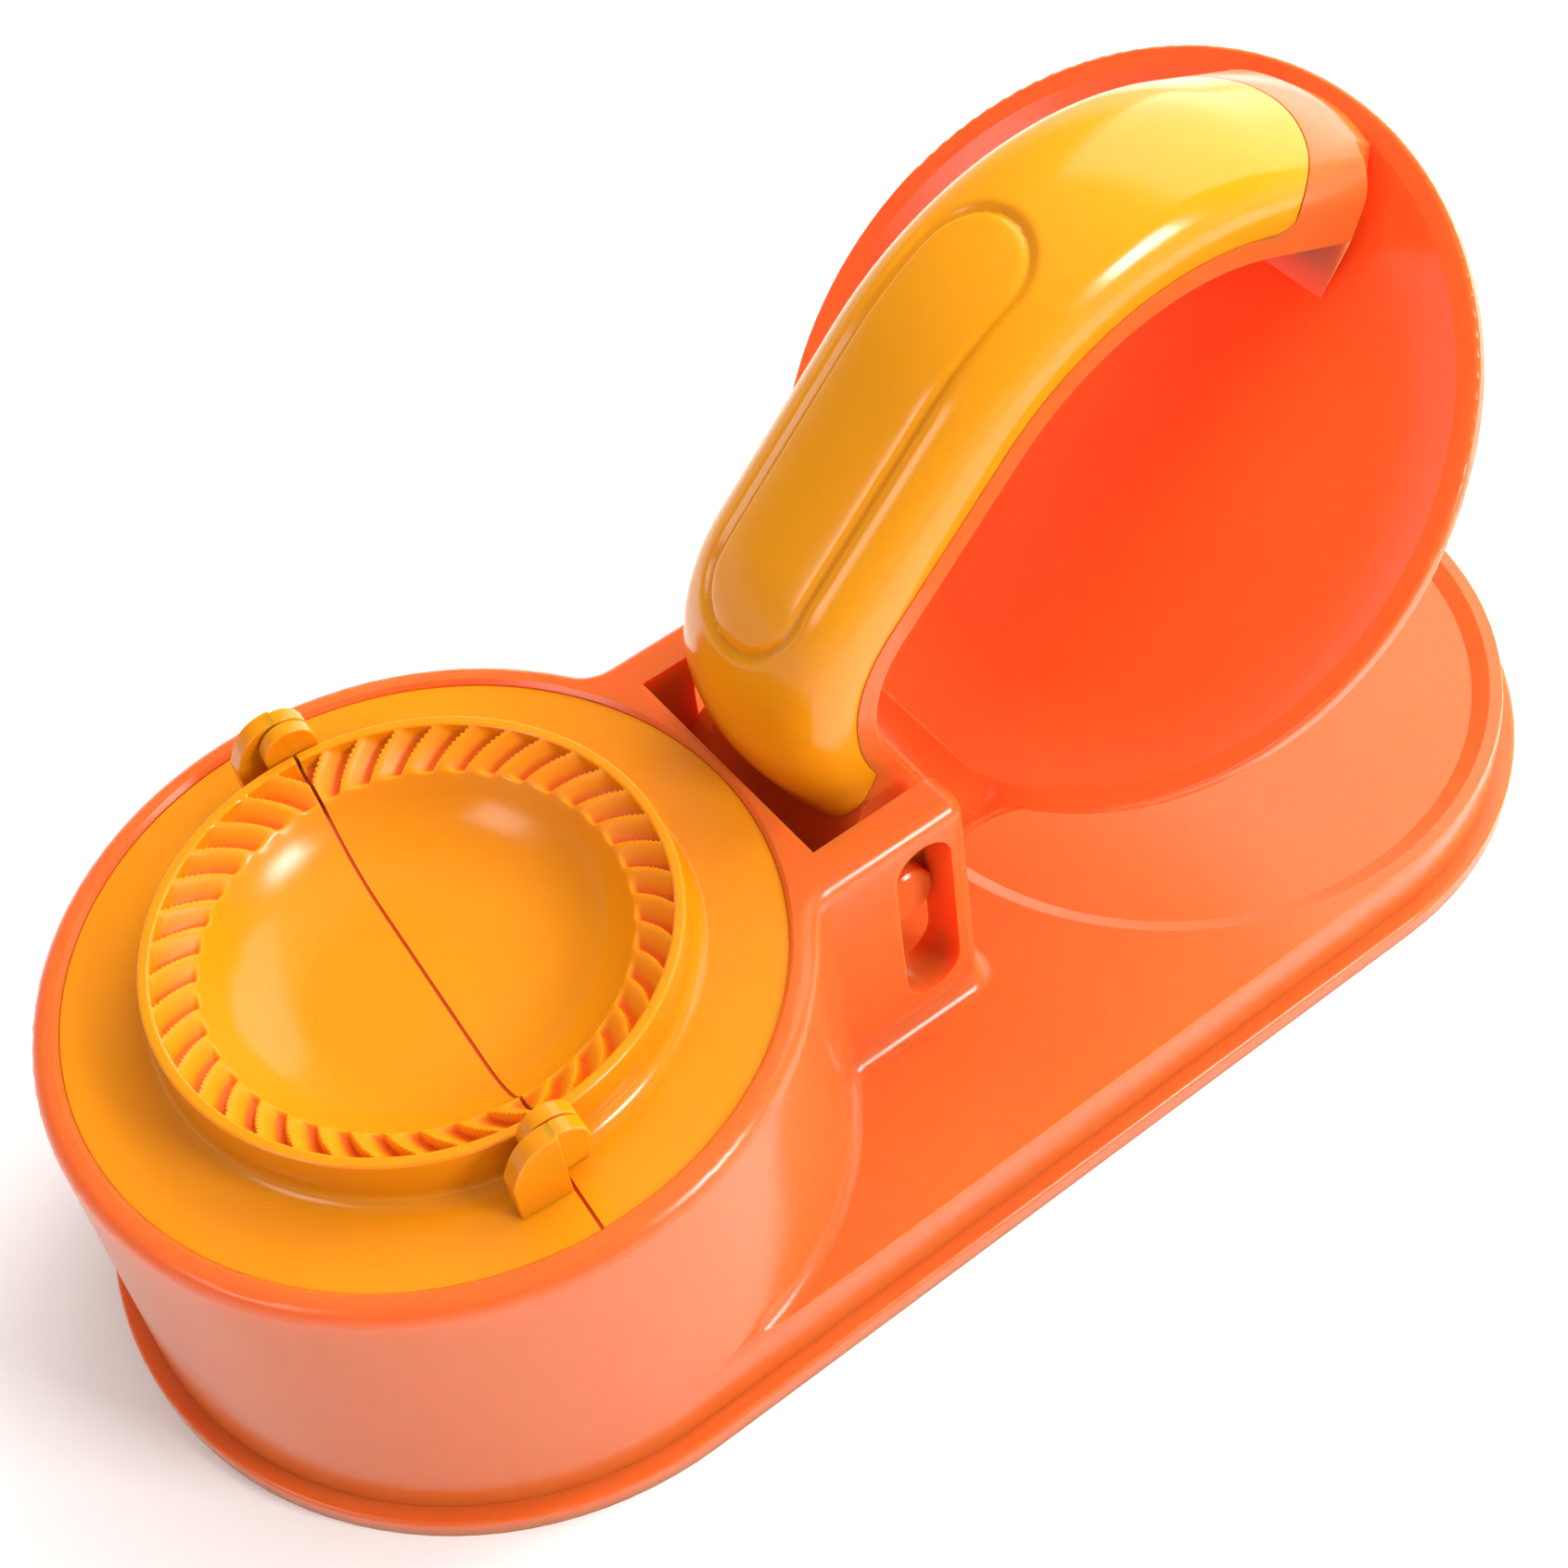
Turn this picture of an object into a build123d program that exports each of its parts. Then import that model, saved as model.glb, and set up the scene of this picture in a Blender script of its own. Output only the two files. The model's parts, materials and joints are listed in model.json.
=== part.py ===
"""Two-in-one dough press: a flat bed with a hinged pressing disc, and a folding mould in a drum."""

import os
from math import cos, radians, sin, sqrt

from build123d import *

os.makedirs("parts", exist_ok=True)

# Driving dimensions, in millimetres and degrees. The origin is the centre of the base's foot, on
# the table; +X runs from the drum to the pressing bed, +Z is up.

# Base: one moulding, with the drum at one end and the pressing bed at the other
end_spacing = 149.0
draft = 1.0
wall = 2.5
foot_ledge = 3.0
foot_height = 3.9
foot_rounding = 0.8
bed_radius = 61.0
bed_top = 15.0
shoulder_rounding = 1.5
cove = 3.0
recess_margin = 5.7
recess_depth = 1.5
recess_slope = 3.0
rib_spacing = 24.0
rib_thickness = 1.5
rib_lift = 1.0

# Drum and the two posts that stand on its edge
drum_top = 62.3
rim_rounding = 3.0
rim_inner_rounding = 0.7
shelf_width = 3.4
post_overhang = 21.0
post_half_width = 31.6
post_blend = 5.0
post_corner = 4.0
channel_half_width = 22.8
channel_margin = 4.2

# Folding mould that lies in the drum's rim
drum_rim_width = 5.6
flange_thickness = 2.3
flange_clearance = 0.4
flange_chamfer = 0.8
flange_sink = 0.9
mould_wall = 2.2
collar_radius = 41.0
collar_height = 9.4
collar_fillet = 2.5
land_width = 1.8
land_rounding = 0.6
bowl_radius = 33.0
bowl_flat_radius = 17.0
bowl_depth = 13.8
valley_depth = 2.1
crimp_slope = 3.4
crimp_pitch = 8.73
crimp_twist = 14.0
crimp_phase = 3.5
crimp_width = 1.9
crimp_bow = 0.62
crimp_sink = 0.2
crimp_overhang = 0.4
seam_turn = -5.0
seam_gap = 0.6

# Hinge of the two mould halves, moulded on their flanges
eye_radius = 4.5
eye_above_land = 0.2
hinge_gap = 0.3
inner_eye_width = 2.7
outer_eye_width = 2.8
gusset_width = 8.6
gusset_proud = 0.5
gusset_height = 7.6
stub_radius = 2.0
stub_clearance = 0.08

# Pivot pin and the upright slots it rides in
pin_radius = 5.3
pin_half_length = 25.5
pin_chamfer = 0.5
pin_rest_height = 40.35
slot_clearance = 0.2
slot_low = 27.4
slot_travel = 25.4
bore_clearance = 0.08

# Pressing lever: disc, neck and heel, with the grip's lower frame
lever_tilt = 39.5
pivot_above_rim = 5.0
disc_overhang = 1.8
neck_length = 14.7
disc_rim = 3.0
disc_edge_rounding = 0.8
disc_floor = 2.5
dish_depth = 6.0
dish_wall_run = 22.0
disc_land = 2.8
plate_clearance = 1.7
plate_skirt = 3.1
skirt_run = 4.4
neck_fillet = 21.0
neck_clearance = 0.5
neck_ledge = 3.7
heel_radius = 10.0

# Grip: a D-shaped arch, with a cover over its crown
grip_half_width = 18.0
grip_rise = 12.7
grip_drop = 3.5
grip_crown = 2.2
grip_crown_half_width = 12.0
grip_side = 2.0
grip_wall = 2.3
far_leg_foot = (15.2, 1.0)
far_bend = (39.3, 44.4)
near_bend = (20.2, 39.3)
near_leg_foot = (10.6, -2.0)
far_bend_radius = 50.0
near_bend_radius = 23.0
far_foot_inner = (29.8, -7.25)
far_foot_outer = (2.4, -1.5)
far_foot_half_width = 16.0
cover_tip = 7.0
cover_shoulder = 15.0
cover_corner = 10.0
cover_corner_start = 10.8
cover_end_inner = (21.5, 24.0)
cover_end_outer = (-10.5, 11.0)
leg_root = (17.5, 17.0)
leg_foot = (15.5, 0.0)
leg_back = (2.0, 21.0)
heel_back = (-8.7, 9.9)
pad_half_width = 11.0
pad_near_margin = 0.3
pad_far_margin = 2.5
pad_groove_width = 1.7
pad_groove_depth = 0.9
pad_depth = 0.4

# Sizes and places that follow from those above
foot_radius = bed_radius + foot_ledge
disc_radius = bed_radius + disc_overhang
recess_radius = bed_radius - recess_margin
plate_radius = recess_radius - plate_clearance
dish_radius = disc_radius - disc_land
dish_flat_radius = dish_radius - dish_wall_run
arm_reach = disc_radius + neck_length
ledge_reach = arm_reach - dish_radius + neck_ledge
ledge_half_width = sqrt(neck_ledge * (2 * dish_radius - neck_ledge))
rim_radius = bed_radius - drum_rim_width
flange_radius = rim_radius - flange_clearance
channel_start = bed_radius - channel_margin
drum_x = -end_spacing / 2
bed_x = end_spacing / 2
slot_x = bed_x - arm_reach
channel_x = drum_x + channel_start
post_end = drum_x + bed_radius + post_overhang
shelf_height = drum_top - flange_sink - flange_thickness
flange_top = shelf_height + flange_thickness
land_height = flange_top + collar_height
hinge_height = land_height + eye_above_land
slot_half_width = pin_radius + slot_clearance
neck_half_width = channel_half_width - neck_clearance
large = 4 * end_spacing
skirt_rise = plate_skirt - disc_rim + disc_floor

tilt = radians(lever_tilt)
pivot = Vector(slot_x, 0, pin_rest_height)
along_lever = Vector(cos(tilt), 0, sin(tilt))
above_lever = Vector(-sin(tilt), 0, cos(tilt))
disc_centre = pivot + along_lever * arm_reach - above_lever * pivot_above_rim
disc_plane = Plane(origin=disc_centre, x_dir=along_lever, z_dir=above_lever)
lever_side = Plane(origin=disc_centre, x_dir=along_lever, z_dir=(0, -1, 0))
drum_section = Plane(origin=(drum_x, 0, 0), x_dir=(1, 0, 0), z_dir=(0, -1, 0))
mould_plane = Plane(origin=(drum_x, 0, 0)).rotated((0, 0, seam_turn))
hinge_section = Plane(
    origin=(drum_x, 0, hinge_height), x_dir=mould_plane.x_dir, z_dir=-mould_plane.y_dir
)


# Base shell: a bed with rounded shoulders, and the drum with its posts, blended by a cove
with BuildPart() as bed_block:
    with BuildSketch():
        SlotCenterToCenter(end_spacing, 2 * bed_radius)
    extrude(amount=bed_top, taper=draft)
    fillet(bed_block.faces().sort_by(Axis.Z)[-1].edges(), shoulder_rounding)

with BuildPart() as drum_and_posts:
    with BuildSketch() as drum_plan:
        with Locations((drum_x, 0)):
            Circle(bed_radius)
        with Locations((drum_x, 0)):
            Rectangle(bed_radius + post_overhang, 2 * post_half_width, align=(Align.MIN, Align.CENTER))
        fillet(drum_plan.vertices().sort_by(Axis.X)[-2:], post_corner)
        blends = drum_plan.vertices().filter_by_position(Axis.X, drum_x + wall, drum_x + bed_radius)
        fillet(blends, post_blend)
    extrude(amount=drum_top, taper=draft)
    fillet(drum_and_posts.faces().sort_by(Axis.Z)[-1].edges(), rim_rounding)

with BuildPart() as bed_envelope:
    with BuildSketch():
        SlotCenterToCenter(end_spacing, 2 * bed_radius)
    extrude(amount=bed_top + cove, taper=draft)
    fillet(bed_envelope.faces().sort_by(Axis.Z)[-1].edges(), shoulder_rounding + cove)

with BuildPart() as cove_block:
    with BuildSketch(Plane.XY.offset(bed_top - wall)):
        Rectangle(2 * end_spacing, 2 * end_spacing)
    extrude(amount=wall)
    add(drum_and_posts.part)
    on_bed = cove_block.edges().filter_by_position(Axis.Z, bed_top - wall / 4, bed_top + wall / 4)
    around_drum = on_bed.filter_by_position(Axis.X, drum_x - bed_radius, bed_x)
    fillet(around_drum.filter_by_position(Axis.Y, -bed_radius, bed_radius), cove)
    add(bed_envelope.part, mode=Mode.INTERSECT)

# Hollows under the bed, in the drum and in the posts
with BuildPart() as bed_hollow:
    with BuildSketch():
        SlotCenterToCenter(end_spacing, 2 * (bed_radius - wall))
        with Locations((drum_x, 0)):
            Circle(bed_radius, mode=Mode.SUBTRACT)
    extrude(amount=bed_top - recess_depth - wall, taper=draft)
    rib_height = bed_top - rib_lift
    with BuildSketch(Plane.XY.offset(rib_lift)):
        with GridLocations(0, rib_spacing, 1, 1 + 2 * int(bed_radius / rib_spacing)):
            Rectangle(large, rib_thickness)
        with GridLocations(rib_spacing, 0, 1 + 2 * int((end_spacing / 2 + bed_radius) / rib_spacing), 1):
            Rectangle(rib_thickness, large)
    extrude(amount=rib_height, mode=Mode.SUBTRACT)

with BuildPart() as drum_hollow:
    with BuildSketch(drum_section):
        with BuildLine():
            Polyline(
                (0, 0),
                (bed_radius - wall, 0),
                (bed_radius - wall - (shelf_height - wall) * sin(radians(draft)), shelf_height - wall),
                (rim_radius - shelf_width, shelf_height - wall),
                (rim_radius - shelf_width, shelf_height),
                (rim_radius, shelf_height),
                (rim_radius, drum_top - rim_inner_rounding),
                (rim_radius + rim_inner_rounding, drum_top),
                (0, drum_top),
                close=True,
            )
        make_face()
    revolve(axis=Axis((drum_x, 0, 0), (0, 0, 1)))
    with BuildSketch():
        with Locations((channel_x - wall + large / 2, 0)):
            Rectangle(large, 2 * (channel_half_width + wall))
    extrude(amount=shelf_height - wall, mode=Mode.SUBTRACT)

with BuildPart() as slot_tunnels:
    with BuildSketch(Plane.XZ.offset(-large / 2)):
        with Locations((slot_x, slot_low + slot_travel / 2)):
            SlotCenterToCenter(slot_travel, 2 * (slot_half_width + wall), rotation=90)
    extrude(amount=large)

with BuildPart() as post_hollow:
    with BuildSketch():
        with Locations(((channel_x + post_end) / 2, 0)):
            Rectangle(post_end - channel_x - 2 * wall, 2 * (post_half_width - draft - wall))
            Rectangle(large, 2 * (channel_half_width + wall), mode=Mode.SUBTRACT)
    extrude(amount=drum_top - wall)
    add(slot_tunnels.part, mode=Mode.SUBTRACT)

with BuildPart() as base_shell:
    with BuildSketch():
        SlotCenterToCenter(end_spacing, 2 * foot_radius)
    extrude(amount=foot_height)
    fillet(base_shell.faces().sort_by(Axis.Z)[-1].edges(), foot_rounding)
    add(bed_block.part)
    add(drum_and_posts.part)
    add(cove_block.part)
    with BuildSketch(Plane.XY.offset(bed_top)):
        with Locations((channel_x + large / 2, 0)):
            Rectangle(large, 2 * channel_half_width)
    extrude(amount=drum_top, mode=Mode.SUBTRACT)
    with BuildSketch(Plane.XZ.offset(-large / 2)):
        with Locations((slot_x, slot_low + slot_travel / 2)):
            SlotCenterToCenter(slot_travel, 2 * slot_half_width, rotation=90)
    extrude(amount=large, mode=Mode.SUBTRACT)
    with BuildSketch(Plane.XY.offset(bed_top - recess_depth)) as recess_floor:
        with Locations((bed_x, 0)):
            Circle(recess_radius)
    with BuildSketch(Plane.XY.offset(bed_top)) as recess_mouth:
        with Locations((bed_x, 0)):
            Circle(recess_radius + recess_slope)
    loft(mode=Mode.SUBTRACT)
    add(bed_hollow.part, mode=Mode.SUBTRACT)
    add(drum_hollow.part, mode=Mode.SUBTRACT)
    add(post_hollow.part, mode=Mode.SUBTRACT)
base_shell.part.label = "base_shell"
export_step(base_shell.part, "parts/base_shell.step")


# Folding mould: one turned dish, crimped round its rim and cut in two along the seam
with BuildPart() as mould_dish:
    crimp_radius = collar_radius - land_width
    valley_rim = land_height - valley_depth
    bowl_rim = valley_rim - crimp_slope
    bowl_floor = land_height - bowl_depth
    with BuildSketch(drum_section):
        with BuildLine():
            floor = Line((0, bowl_floor), (bowl_flat_radius, bowl_floor))
            side = TangentArc(floor @ 1, (bowl_radius, bowl_rim), tangent=floor % 1)
            Polyline(
                side @ 1,
                (crimp_radius, valley_rim),
                (crimp_radius, land_height),
                (collar_radius, land_height),
                (collar_radius, flange_top),
                (flange_radius, flange_top),
                (flange_radius, shelf_height + flange_chamfer),
                (flange_radius - flange_chamfer, shelf_height),
                (collar_radius - mould_wall, shelf_height),
                (collar_radius - mould_wall, valley_rim - mould_wall),
                (bowl_radius, bowl_rim - mould_wall),
            )
            under = Line((0, bowl_floor - mould_wall), (bowl_flat_radius, bowl_floor - mould_wall))
            TangentArc(under @ 1, (bowl_radius, bowl_rim - mould_wall), tangent=under % 1)
            Line((0, bowl_floor), (0, bowl_floor - mould_wall))
        make_face()
    revolve(axis=Axis((drum_x, 0, 0), (0, 0, 1)))
    collar_foot = mould_dish.edges().filter_by(GeomType.CIRCLE).filter_by_position(
        Axis.Z, flange_top - wall / 4, flange_top + wall / 4
    )
    fillet(collar_foot.sort_by(SortBy.RADIUS)[0], collar_fillet)
    land_edges = mould_dish.edges().filter_by(GeomType.CIRCLE).group_by(Axis.Z)[-1]
    fillet(land_edges, land_rounding)

with BuildPart() as crimp_ring:
    crimp_end = bowl_radius - crimp_overhang
    with BuildSketch(drum_section):
        with BuildLine():
            Polyline(
                (crimp_radius + land_width / 4, valley_rim - mould_wall / 2),
                (crimp_radius + land_width / 4, land_height - crimp_sink),
                (crimp_end, land_height - crimp_sink - crimp_slope),
                (crimp_end, bowl_rim - mould_wall / 2),
                close=True,
            )
        make_face()
    revolve(axis=Axis((drum_x, 0, 0), (0, 0, 1)))

with BuildPart() as crimps_left:
    crimp_count = 2 + int(180 / crimp_pitch)
    crimp_radii = (crimp_radius + crimp_width, (crimp_radius + bowl_radius) / 2, bowl_radius - crimp_width)
    crimp_turns = (0, -crimp_bow * crimp_twist, -crimp_twist)
    crimp_spine = [Vector(radius, 0).rotate(Axis.Z, turn) for radius, turn in zip(crimp_radii, crimp_turns)]
    with BuildSketch(mode=Mode.PRIVATE) as crimp_outline:
        with BuildLine():
            near_side = Spline(*[point - Vector(0, crimp_width / 2) for point in crimp_spine])
            far_side = Spline(*[point + Vector(0, crimp_width / 2) for point in crimp_spine])
            Line(near_side @ 0, far_side @ 0)
            Line(near_side @ 1, far_side @ 1)
        make_face()
    with BuildSketch(mould_plane.offset(bowl_floor)):
        with PolarLocations(0, crimp_count, 90 + crimp_phase, crimp_count * crimp_pitch):
            add(crimp_outline.sketch)
    extrude(amount=bowl_depth)
    add(crimp_ring.part, mode=Mode.INTERSECT)

with BuildPart() as crimps_right:
    add(crimps_left.part)
    mirror(about=Plane(origin=(drum_x, 0, 0), z_dir=mould_plane.x_dir), mode=Mode.REPLACE)

outer_eye_start = collar_radius + 2 * hinge_gap + inner_eye_width
eye_drop = hinge_height - flange_top

with BuildPart() as mould_half_left:
    add(mould_dish.part)
    add(crimps_left.part)
    with BuildSketch(mould_plane):
        with Locations((large / 2 - seam_gap / 2, 0)):
            Rectangle(large, large)
    extrude(amount=large, mode=Mode.SUBTRACT)
    for end in (1, -1):
        with BuildSketch(hinge_section.offset(end * outer_eye_start)):
            Circle(eye_radius)
        extrude(amount=end * outer_eye_width)
        with BuildSketch(hinge_section.offset(end * outer_eye_start)):
            with BuildLine():
                Polyline(
                    (-seam_gap / 2, eye_radius),
                    (-seam_gap / 2, -eye_drop),
                    (-gusset_width, -eye_drop),
                    (-gusset_width, gusset_height - eye_drop),
                )
                TangentArc((-seam_gap / 2, eye_radius), (-gusset_width, gusset_height - eye_drop), tangent=(-1, 0))
            make_face()
        extrude(amount=end * (outer_eye_width + gusset_proud))
        with BuildSketch(hinge_section.offset(end * outer_eye_start)):
            Circle(stub_radius)
        extrude(amount=-end * inner_eye_width)
mould_half_left.part.label = "mould_half_left"
export_step(mould_half_left.part, "parts/mould_half_left.step")

with BuildPart() as mould_half_right:
    add(mould_dish.part)
    add(crimps_right.part)
    with BuildSketch(mould_plane):
        with Locations((seam_gap / 2 - large / 2, 0)):
            Rectangle(large, large)
    extrude(amount=large, mode=Mode.SUBTRACT)
    for end in (1, -1):
        with BuildSketch(hinge_section.offset(end * (collar_radius + hinge_gap))):
            Circle(eye_radius)
            with Locations((seam_gap / 2, 0)):
                Rectangle(eye_radius - seam_gap / 2, eye_drop, align=(Align.MIN, Align.MAX))
            Circle(stub_radius + stub_clearance, mode=Mode.SUBTRACT)
        extrude(amount=end * inner_eye_width)
mould_half_right.part.label = "mould_half_right"
export_step(mould_half_right.part, "parts/mould_half_right.step")


# Pivot pin, loose in both slots and in the lever's heel
with BuildPart() as pivot_pin:
    with BuildSketch(Plane.XZ.offset(-pin_half_length)):
        with Locations((slot_x, pin_rest_height)):
            Circle(pin_radius)
    extrude(amount=2 * pin_half_length)
    chamfer(pivot_pin.edges().filter_by(GeomType.CIRCLE), pin_chamfer)
pivot_pin.part.label = "pivot_pin"
export_step(pivot_pin.part, "parts/pivot_pin.step")


def from_pivot(point):
    """Give a place on the lever, measured along it from the pivot, as one from the disc's centre."""
    return (point[0] - arm_reach, point[1])


def from_rim(point):
    """Give a place on the lever, measured inwards from the disc's far rim, as one from its centre."""
    return (disc_radius - point[0], point[1])


# Grip: everything follows one path, from the disc's far side over the top to the heel
with BuildLine(lever_side) as grip_path:
    FilletPolyline(
        from_rim(far_leg_foot),
        from_rim(far_bend),
        from_pivot(near_bend),
        from_pivot(near_leg_foot),
        radius=(far_bend_radius, near_bend_radius),
    )
grip_wire = grip_path.wire()
leg_up = grip_wire % 0
grip_start = Plane(origin=grip_wire @ 0, x_dir=(0, -1, 0), z_dir=leg_up)


def grip_outline(half_width, rise, drop):
    """Return a D: flat below the parting line, with steep sides and a gently crowned top."""
    shoulder = half_width * grip_crown_half_width / grip_half_width
    with BuildSketch() as outline:
        with BuildLine():
            side = Line((half_width, -drop), (half_width, grip_side))
            corner = TangentArc(side @ 1, (shoulder, rise - grip_crown), tangent=side % 1)
            mirror(about=Plane.YZ)
            ThreePointArc(corner @ 1, (0, rise), (-shoulder, rise - grip_crown))
            Line((half_width, -drop), (-half_width, -drop))
        make_face()
    return outline.sketch


with BuildPart() as grip_arch:
    with BuildSketch(grip_start):
        add(grip_outline(grip_half_width, grip_rise, grip_drop))
    sweep(path=grip_wire)

with BuildPart() as grip_core:
    with BuildSketch(grip_start):
        add(grip_outline(grip_half_width - grip_wall, grip_rise - grip_wall, grip_drop - grip_wall))
    sweep(path=grip_wire)

# The cover's share of the arch: all above the parting line, between two shaped ends
with BuildPart() as cover_zone:
    with BuildSketch(grip_start):
        Rectangle(3 * grip_half_width, 2 * grip_rise, align=(Align.CENTER, Align.MIN))
    sweep(path=grip_wire)
    far_end = Plane(origin=grip_wire @ 0, x_dir=(0, 1, 0), z_dir=grip_start.y_dir)
    with BuildSketch(far_end):
        with BuildLine():
            edge = Polyline(
                (grip_half_width, cover_shoulder),
                (2 * grip_half_width, cover_shoulder),
                (2 * grip_half_width, -cover_shoulder),
                (-2 * grip_half_width, -cover_shoulder),
                (-2 * grip_half_width, cover_shoulder),
                (-grip_half_width, cover_shoulder),
            )
            ThreePointArc(edge @ 1, (0, cover_tip), edge @ 0)
        make_face()
    extrude(amount=3 * grip_rise, both=True, mode=Mode.SUBTRACT)
    with BuildSketch(Plane(origin=grip_wire @ 0, x_dir=leg_up, z_dir=(0, -1, 0))):
        Rectangle(cover_corner_start + cover_corner, cover_corner, align=(Align.MIN, Align.MAX))
        with Locations((cover_corner_start + cover_corner, -cover_corner)):
            Circle(cover_corner, mode=Mode.SUBTRACT)
    extrude(amount=3 * grip_half_width, both=True, mode=Mode.SUBTRACT)
    with BuildSketch(lever_side):
        with BuildLine():
            Polyline(
                from_pivot(cover_end_inner),
                from_pivot(cover_end_outer),
                from_pivot((cover_end_outer[0], -arm_reach)),
                from_pivot((cover_end_inner[0] + grip_drop, -arm_reach)),
                from_pivot((cover_end_inner[0] + grip_drop, cover_end_inner[1])),
                close=True,
            )
        make_face()
    extrude(amount=3 * grip_half_width, both=True, mode=Mode.SUBTRACT)

# Sunk pad on the crown, ringed by a groove
pad_near = from_pivot(near_bend)[0] + pad_near_margin
pad_far = from_rim(far_bend)[0] - pad_far_margin
pad_length = pad_far - pad_near
pad_plane = disc_plane.offset(far_bend[1])

with BuildPart() as pad_cutter:
    with BuildSketch(pad_plane):
        with Locations(((pad_far + pad_near) / 2, 0)):
            SlotOverall(pad_length, 2 * pad_half_width)
    extrude(amount=2 * grip_rise, both=True)
    with BuildSketch(grip_start):
        add(grip_outline(grip_half_width - pad_depth, grip_rise - pad_depth, grip_drop))
    sweep(path=grip_wire, mode=Mode.SUBTRACT)

with BuildPart() as groove_cutter:
    with BuildSketch(pad_plane):
        with Locations(((pad_far + pad_near) / 2, 0)):
            SlotOverall(pad_length, 2 * pad_half_width)
            SlotOverall(
                pad_length - 2 * pad_groove_width,
                2 * (pad_half_width - pad_groove_width),
                mode=Mode.SUBTRACT,
            )
    extrude(amount=2 * grip_rise, both=True)
    with BuildSketch(grip_start):
        add(grip_outline(grip_half_width - pad_groove_depth, grip_rise - pad_groove_depth, grip_drop))
    sweep(path=grip_wire, mode=Mode.SUBTRACT)

with BuildPart() as grip_cover:
    add(grip_arch.part)
    add(cover_zone.part, mode=Mode.INTERSECT)
    add(grip_core.part, mode=Mode.SUBTRACT)
    add(pad_cutter.part.solids().sort_by(Axis.Z)[-1], mode=Mode.SUBTRACT)
    add(groove_cutter.part.solids().sort_by(Axis.Z)[-1], mode=Mode.SUBTRACT)
grip_cover.part.label = "grip_cover"
export_step(grip_cover.part, "parts/grip_cover.step")


# Grip frame: what the cover leaves of the arch, hollow behind it
with BuildPart() as arch_frame:
    add(grip_arch.part)
    add(cover_zone.part, mode=Mode.SUBTRACT)
    add(grip_core.part, mode=Mode.SUBTRACT)

# Far leg: flares from the arch into the dish
with BuildPart() as far_leg:
    with BuildSketch(grip_start):
        add(grip_outline(grip_half_width, grip_rise, grip_drop))
    foot_start = lever_side.from_local_coords(from_rim(far_foot_inner))
    foot_end = lever_side.from_local_coords(from_rim(far_foot_outer))
    foot_run = foot_end - foot_start
    with BuildSketch(Plane(origin=foot_start, x_dir=(0, -1, 0), z_dir=foot_run.cross(Vector(0, 1, 0)))):
        add(grip_outline(far_foot_half_width, foot_run.length, 0))
    loft()

# Pressing lever: the dish is turned about the disc's axis, the neck runs on to the heel
with BuildPart() as press_lever:
    with BuildSketch(lever_side):
        with BuildLine():
            dish_floor = Line((0, -dish_depth), (dish_flat_radius, -dish_depth))
            TangentArc(dish_floor @ 1, (dish_radius, 0), tangent=dish_floor % 1)
            Polyline(
                (dish_radius, 0),
                (disc_radius, 0),
                (disc_radius, -disc_rim),
                (plate_radius + skirt_run, -disc_rim),
                (plate_radius, -disc_rim - skirt_rise),
                (plate_radius, -dish_depth - disc_floor),
                (0, -dish_depth - disc_floor),
                (0, -dish_depth),
            )
        make_face()
    revolve(axis=Axis(disc_centre, above_lever))
    rims = press_lever.edges().filter_by(GeomType.CIRCLE).filter_by(lambda edge: edge.is_closed)
    rim_edges = rims.sort_by(SortBy.RADIUS)[-2:]
    fillet(rim_edges, disc_edge_rounding)
    with BuildSketch(disc_plane.offset(-disc_rim)) as neck_plan:
        Circle(disc_radius - disc_edge_rounding)
        Rectangle(arm_reach, 2 * neck_half_width, align=(Align.MAX, Align.CENTER))
        neck_corners = neck_plan.vertices().filter_by_position(Axis.X, -disc_radius, 0)
        fillet(neck_corners, neck_fillet)
        Circle(dish_radius - disc_edge_rounding, mode=Mode.SUBTRACT)
        with Locations((-arm_reach, 0)):
            Rectangle(ledge_reach, 2 * ledge_half_width, align=(Align.MIN, Align.CENTER))
    extrude(amount=disc_rim)
    with BuildSketch(lever_side):
        with Locations((-arm_reach, pivot_above_rim)):
            Circle(heel_radius)
    extrude(amount=neck_half_width, both=True)
    with BuildSketch(lever_side):
        with BuildLine():
            Polyline(
                from_pivot(heel_back),
                from_pivot(leg_back),
                from_pivot(leg_root),
                from_pivot(leg_foot),
                from_pivot((leg_foot[0], -disc_rim)),
                from_pivot((0, pivot_above_rim - heel_radius)),
                close=True,
            )
        make_face()
    extrude(amount=grip_half_width, both=True)
    add(far_leg.part)
    add(cover_zone.part, mode=Mode.SUBTRACT)
    add(arch_frame.part)
    with BuildSketch(lever_side):
        with Locations((-arm_reach, pivot_above_rim)):
            Circle(pin_radius + bore_clearance)
    extrude(amount=neck_half_width, both=True, mode=Mode.SUBTRACT)
press_lever.part.label = "press_lever"
export_step(press_lever.part, "parts/press_lever.step")
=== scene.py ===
"""Two-in-one dough press in orange and yellow moulded plastic, on a white board."""

import bpy, bmesh, json
from math import atan2, cos, degrees, exp, hypot, pi, radians, sin, sqrt, tan
from mathutils import Matrix, Vector


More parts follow.
